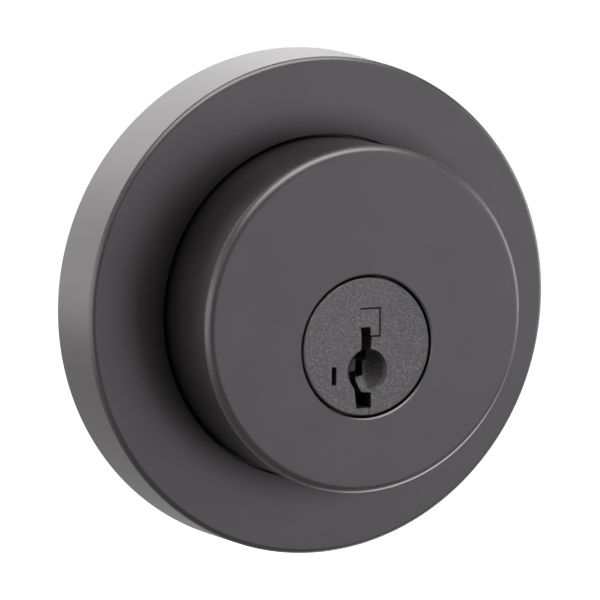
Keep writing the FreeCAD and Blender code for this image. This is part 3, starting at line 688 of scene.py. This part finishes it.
@dataclass
class Trim:
    """The parts that are seen from outside: rose, drum and the gasket inside the rim.

    Args:
        rose_wall: Thickness of the rose.
        rose_draft: How much narrower the rose is in front than at the door.
        rose_round: Rounding of the rose's front edge.
        drum_wall: Thickness of the drum's side.
        drum_round: Rounding of the drum's front edge.
        drum_gap: Gap between the drum and the rose.
        face_wall: Thickness of the drum's face.
        flange_thickness: Thickness of the flange behind the rose.
        guard_gap: Gap between the drum and the guard disc inside it.
        hole_gap: Gap round the plug's head.
        hole_lip: Chamfer of the hole round the plug's head.
        gasket_width: Width of the gasket.
        fine_round: Rounding of every other edge.
    """

    rose_wall: float = 2.0 * MM
    rose_draft: float = 0.6 * MM
    rose_round: float = 0.75 * MM
    drum_wall: float = 2.2 * MM
    drum_round: float = 1.15 * MM
    drum_gap: float = 0.3 * MM
    face_wall: float = 2.4 * MM
    flange_thickness: float = 2.0 * MM
    guard_gap: float = 0.1 * MM
    hole_gap: float = 0.3 * MM
    hole_lip: float = 0.2 * MM
    gasket_width: float = 1.6 * MM
    fine_round: float = 0.12 * MM

    def build(self) -> None:
        """Build and dress the three pieces."""
        self.rose()
        self.drum()
        self.gasket()

    def drum_radius(self) -> float:
        """Return the drum's outside radius, from the guard disc that fits inside it."""
        return radius_of("drill_guard") + self.guard_gap + self.drum_wall

    def rose(self) -> None:
        """Build the tapered cup."""
        radius = radius_of("rose")
        depth = depth_of("rose")
        floor = depth - self.rose_wall
        inside = radius - self.rose_wall - self.rose_draft * floor / depth
        hole = self.drum_radius() + self.drum_gap
        piece = Piece("rose")
        piece.dress(piece.from_bmesh(lathe([
            (radius, 0.0, self.fine_round),
            (radius - self.rose_draft, depth, self.rose_round),
            (hole, depth, self.fine_round),
            (hole, floor, self.fine_round),
            (inside, floor, self.fine_round),
            (radius - self.rose_wall, 0.0, self.fine_round),
        ], axis_of("rose"), LARGE_STEPS)))

    def drum(self) -> None:
        """Build the drum with its flange and its off-centre hole."""
        flange = radius_of("housing")
        front = depth_of("housing")
        back = -limits("housing")[1].y
        step = back + self.flange_thickness
        outside = self.drum_radius()
        inside = outside - self.drum_wall
        face_back = front - self.face_wall
        piece = Piece("housing", SHARP_DEGREES)
        made = piece.from_bmesh(lathe([
            (0.0, face_back, 0.0),
            (inside, face_back, self.fine_round),
            (inside, back, self.fine_round),
            (flange, back, self.fine_round),
            (flange, step, self.fine_round),
            (outside, step, 0.0),
            (outside, front, self.drum_round),
            (0.0, front, 0.0),
        ], axis_of("housing"), LARGE_STEPS))
        hole = radius_of("plug") + self.hole_gap
        cut(made, lathe([
            (0.0, face_back - self.hole_lip, 0.0),
            (hole, face_back - self.hole_lip, 0.0),
            (hole, front - self.hole_lip, 0.0),
            (hole + 2 * self.hole_lip, front + self.hole_lip, 0.0),
            (0.0, front + self.hole_lip, 0.0),
        ], axis_of("plug")))
        piece.dress(made)

    def gasket(self) -> None:
        """Build the soft ring with a rolled lip against the door."""
        outside = radius_of("door_gasket")
        depth = depth_of("door_gasket")
        inner = outside - self.gasket_width
        lean = self.rose_draft * depth / depth_of("rose")
        piece = Piece("door_gasket")
        piece.dress(piece.from_bmesh(lathe([
            (outside, 0.0, 3 * self.fine_round),
            (outside - lean, depth, self.fine_round),
            (inner, depth, 2 * self.fine_round),
            (inner, 0.0, 3 * self.fine_round),
        ], axis_of("door_gasket"))))


@dataclass
class SoftenedParts:
    """Parts whose own shape is kept, with every hard edge slightly rounded.

    Args:
        widths: Rounding of each node's edges in metres.
    """

    widths: dict[str, float]

    def build(self) -> None:
        """Build and dress each part."""
        for node, width in self.widths.items():
            piece = Piece(node, SHARP_DEGREES)
            made = piece.from_bmesh(softened(node, width))
            piece.dress(made)


@dataclass
class Inside:
    """Parts that keep the frame's own mesh and only get their finish."""

    def build(self, done: set[str]) -> None:
        """Dress every node that no piece stands for.

        Args:
            done: Nodes that a piece already stands for.
        """
        for node, thing in frame["nodes"].items():
            if node in done:
                continue
            finish = Look[SLOT_OF[node]].value.material()
            for place in thing.material_slots:
                place.material = finish
            LOG.info("%s keeps its own mesh", node)


@dataclass
class Springs:
    """Coil springs inside the plug, each given its own copy of its mesh; how far each would
    shorten is worked out from its joint's travel but not applied.

    Args:
        pins: How many pins have a spring over them.
    """

    pins: int = 5

    def build(self) -> None:
        """Give each spring its own mesh, after reading its joint's travel."""
        for number in range(1, self.pins + 1):
            self.shorten(f"pin_spring_{number}", f"pin_{number}_lift", Vector((0.0, 0.0, 1.0)))
        self.shorten("carriage_springs", "carriage_slide", Vector((0.0, 1.0, 0.0)))

    def shorten(self, node: str, joint: str, axis: Vector) -> None:
        """Give one spring its own mesh; the share of its length that it would keep is worked out,
        but nothing shortens it.

        Args:
            node: The spring's node.
            joint: The joint of the piece that pushes it.
            axis: The way it is pushed.
        """
        low, high = limits(node)
        length = (high - low).dot(axis)
        keep = 1.0 - TRAVEL_OF[joint] / length
        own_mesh(frame["nodes"][node])


# ---------------------------------------------------------------------------
# Studio
# ---------------------------------------------------------------------------


@dataclass(frozen=True)
class Panel:
    """A flat soft light that faces the lock and isn't seen itself.

    Args:
        name: The light's name.
        place: Where it hangs.
        size: Its width and height.
        glow: Its brightness, where the white floor has 1.
        colour: Its colour.
    """

    name: str
    place: Vector3
    size: tuple[float, float]
    glow: float
    colour: Colour = WHITE

    def hang(self) -> None:
        """Put the light in the scene."""
        data = bpy.data.lights.new(self.name, "AREA")
        data.shape = "RECTANGLE"
        data.size, data.size_y = self.size
        data.energy = self.glow * math.pi * data.size * data.size_y
        data.color = self.colour
        light = bpy.data.objects.new(self.name, data)
        light.location = self.place
        light.rotation_mode = "QUATERNION"
        light.rotation_quaternion = (-Vector(self.place)).to_track_quat("-Z", "Y")
        light.visible_camera = False
        bpy.context.scene.collection.objects.link(light)


PANELS = (
    Panel("top_light", (0.02, -0.36, 1.10), (1.54, 0.92), 5.4),
    Panel("left_light", (-1.40, -0.10, 0.0), (1.9, 0.9), 2.0),
    Panel("right_light", (1.40, -0.15, 0.10), (0.8, 0.8), 4.5),
    Panel("low_light", (0.29, 0.13, -0.31), (0.35, 0.30), 3.2),
    Panel("front_light", (1.00, -1.45, 0.05), (1.15, 1.5), 1.22, COOL),
    Panel("back_light_high", (-0.15, 1.25, 0.75), (2.2, 0.7), 2.8),
    Panel("back_light_low", (-0.30, 1.40, 0.05), (2.6, 0.6), 1.4),
)


@dataclass
class Studio:
    """Camera, pale floor and soft light.

    Args:
        azimuth: The camera's angle round from straight on, negative to the left, in degrees.
        elevation: Its angle above the horizon, in degrees.
        roll: Its tilt about its own axis, in degrees.
        distance: Its distance from the rose's centre on the door.
        focal: Its lens in millimetres, for the sensor's width.
        sensor: The sensor's width in millimetres.
        shift: How far the frame is moved, in frame widths.
        reach: The nearest and the farthest distance that the camera sees.
        clearance: Height of the lock's lowest point above the floor.
        floor_half: Half the floor's width.
        floor_tint: The floor's shade of grey.
        floor_glow: How much light of its own the floor gives.
        front_glow: Brightness of the world in front of the lock.
        back_glow: Its brightness behind the lock.
        back_from: How far behind a direction points where the world is at its brightest.
    """

    azimuth: float = -25.36
    elevation: float = 8.14
    roll: float = 0.68
    distance: float = 488.0 * MM
    focal: float = 209.4
    sensor: float = 36.0
    shift: tuple[float, float] = (0.015, -0.0045)
    reach: tuple[float, float] = (0.01, 20.0)
    clearance: float = 350.0 * MM
    floor_half: float = 20.0
    floor_tint: float = 0.8
    floor_glow: float = 0.6
    front_glow: float = 0.42
    back_glow: float = 0.85
    back_from: float = 0.95

    def build(self) -> None:
        """Make the camera, the floor, the lights and the world."""
        self.camera()
        self.floor()
        for panel in PANELS:
            panel.hang()
        self.world()

    def camera(self) -> None:
        """Make the camera and aim it at the rose's centre on the door."""
        aim = axis_of("rose")
        azimuth, elevation = math.radians(self.azimuth), math.radians(self.elevation)
        back = Vector((
            math.sin(azimuth) * math.cos(elevation),
            -math.cos(azimuth) * math.cos(elevation),
            math.sin(elevation),
        ))
        data = bpy.data.cameras.new("camera")
        data.lens = self.focal
        data.sensor_width = self.sensor
        data.shift_x, data.shift_y = self.shift
        data.clip_start, data.clip_end = self.reach
        camera = bpy.data.objects.new("camera", data)
        bpy.context.scene.collection.objects.link(camera)
        turn = (-back).to_track_quat("-Z", "Y").to_matrix().to_4x4()
        roll = Matrix.Rotation(math.radians(self.roll), 4, "Z")
        camera.matrix_world = Matrix.Translation(aim + back * self.distance) @ turn @ roll
        bpy.context.scene.camera = camera

    def floor(self) -> None:
        """Make the plain pale floor, well below the lock."""
        mesh = bmesh.new()
        level = limits("rose")[0].z - self.clearance
        place = Matrix.Translation((0.0, 0.0, level))
        half = self.floor_half
        bmesh.ops.create_grid(mesh, x_segments=1, y_segments=1, size=half, matrix=place)
        data = bpy.data.meshes.new("floor")
        mesh.to_mesh(data)
        mesh.free()
        floor = bpy.data.objects.new("floor", data)
        bpy.context.scene.collection.objects.link(floor)
        made = bpy.data.materials.new("pale_floor")
        made.use_nodes = True
        tree = Tree(made.node_tree)
        shader = tree.add("ShaderNodeBsdfPrincipled", {}, {
            "Base Color": _rgba((self.floor_tint,) * 3), "Roughness": 0.9,
            "Emission Color": _rgba(WHITE), "Emission Strength": self.floor_glow,
        })
        tree.add("ShaderNodeOutputMaterial", {}, {"Surface": shader})
        data.materials.append(made)
        floor.visible_glossy = False

    def world(self) -> None:
        """Surround the scene with plain light that is brighter behind the lock."""
        world = bpy.data.worlds.new("white_room")
        world.use_nodes = True
        tree = Tree(world.node_tree)
        direction = tree.add("ShaderNodeTexCoord", {}, {}, "Generated")
        behind = tree.add("ShaderNodeSeparateXYZ", {}, {"Vector": direction}, "Y")
        front, back = (self.front_glow,) * 3, (self.back_glow,) * 3
        glow = tree.ramp(behind.clamped(), [(0.0, front), (self.back_from, back)])
        light = tree.add("ShaderNodeBackground", {}, {"Color": glow, "Strength": 1.0})
        tree.add("ShaderNodeOutputWorld", {}, {"Surface": light})
        scene = bpy.context.scene
        scene.world = world
        scene.view_settings.view_transform = "Standard"
        scene.view_settings.look = "None"


TURNED = {"rose", "housing", "door_gasket"}
SOFTENED = {
    "plug": 0.05 * MM,
    "face_insert": 0.05 * MM,
    "plug_cap": 0.15 * MM,
    "cylinder_body": 0.12 * MM,
    "retaining_plate": 0.1 * MM,
    "housing_screws": 0.1 * MM,
    "cylinder_screws": 0.1 * MM,
    "fixing_post_left": 0.15 * MM,
    "fixing_post_right": 0.15 * MM,
    "bore_spigot": 0.2 * MM,
    "tailpiece": 0.12 * MM,
    "sidebar": 0.05 * MM,
    "carriage": 0.05 * MM,
}


def main() -> None:
    """Build the lock's looks in order."""
    logging.basicConfig(level=logging.INFO, format="%(message)s")
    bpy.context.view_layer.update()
    Studio().build()
    Trim().build()
    SoftenedParts(SOFTENED).build()
    Inside().build(TURNED | set(SOFTENED))
    Springs().build()


if __name__ == "__main__":
    main()
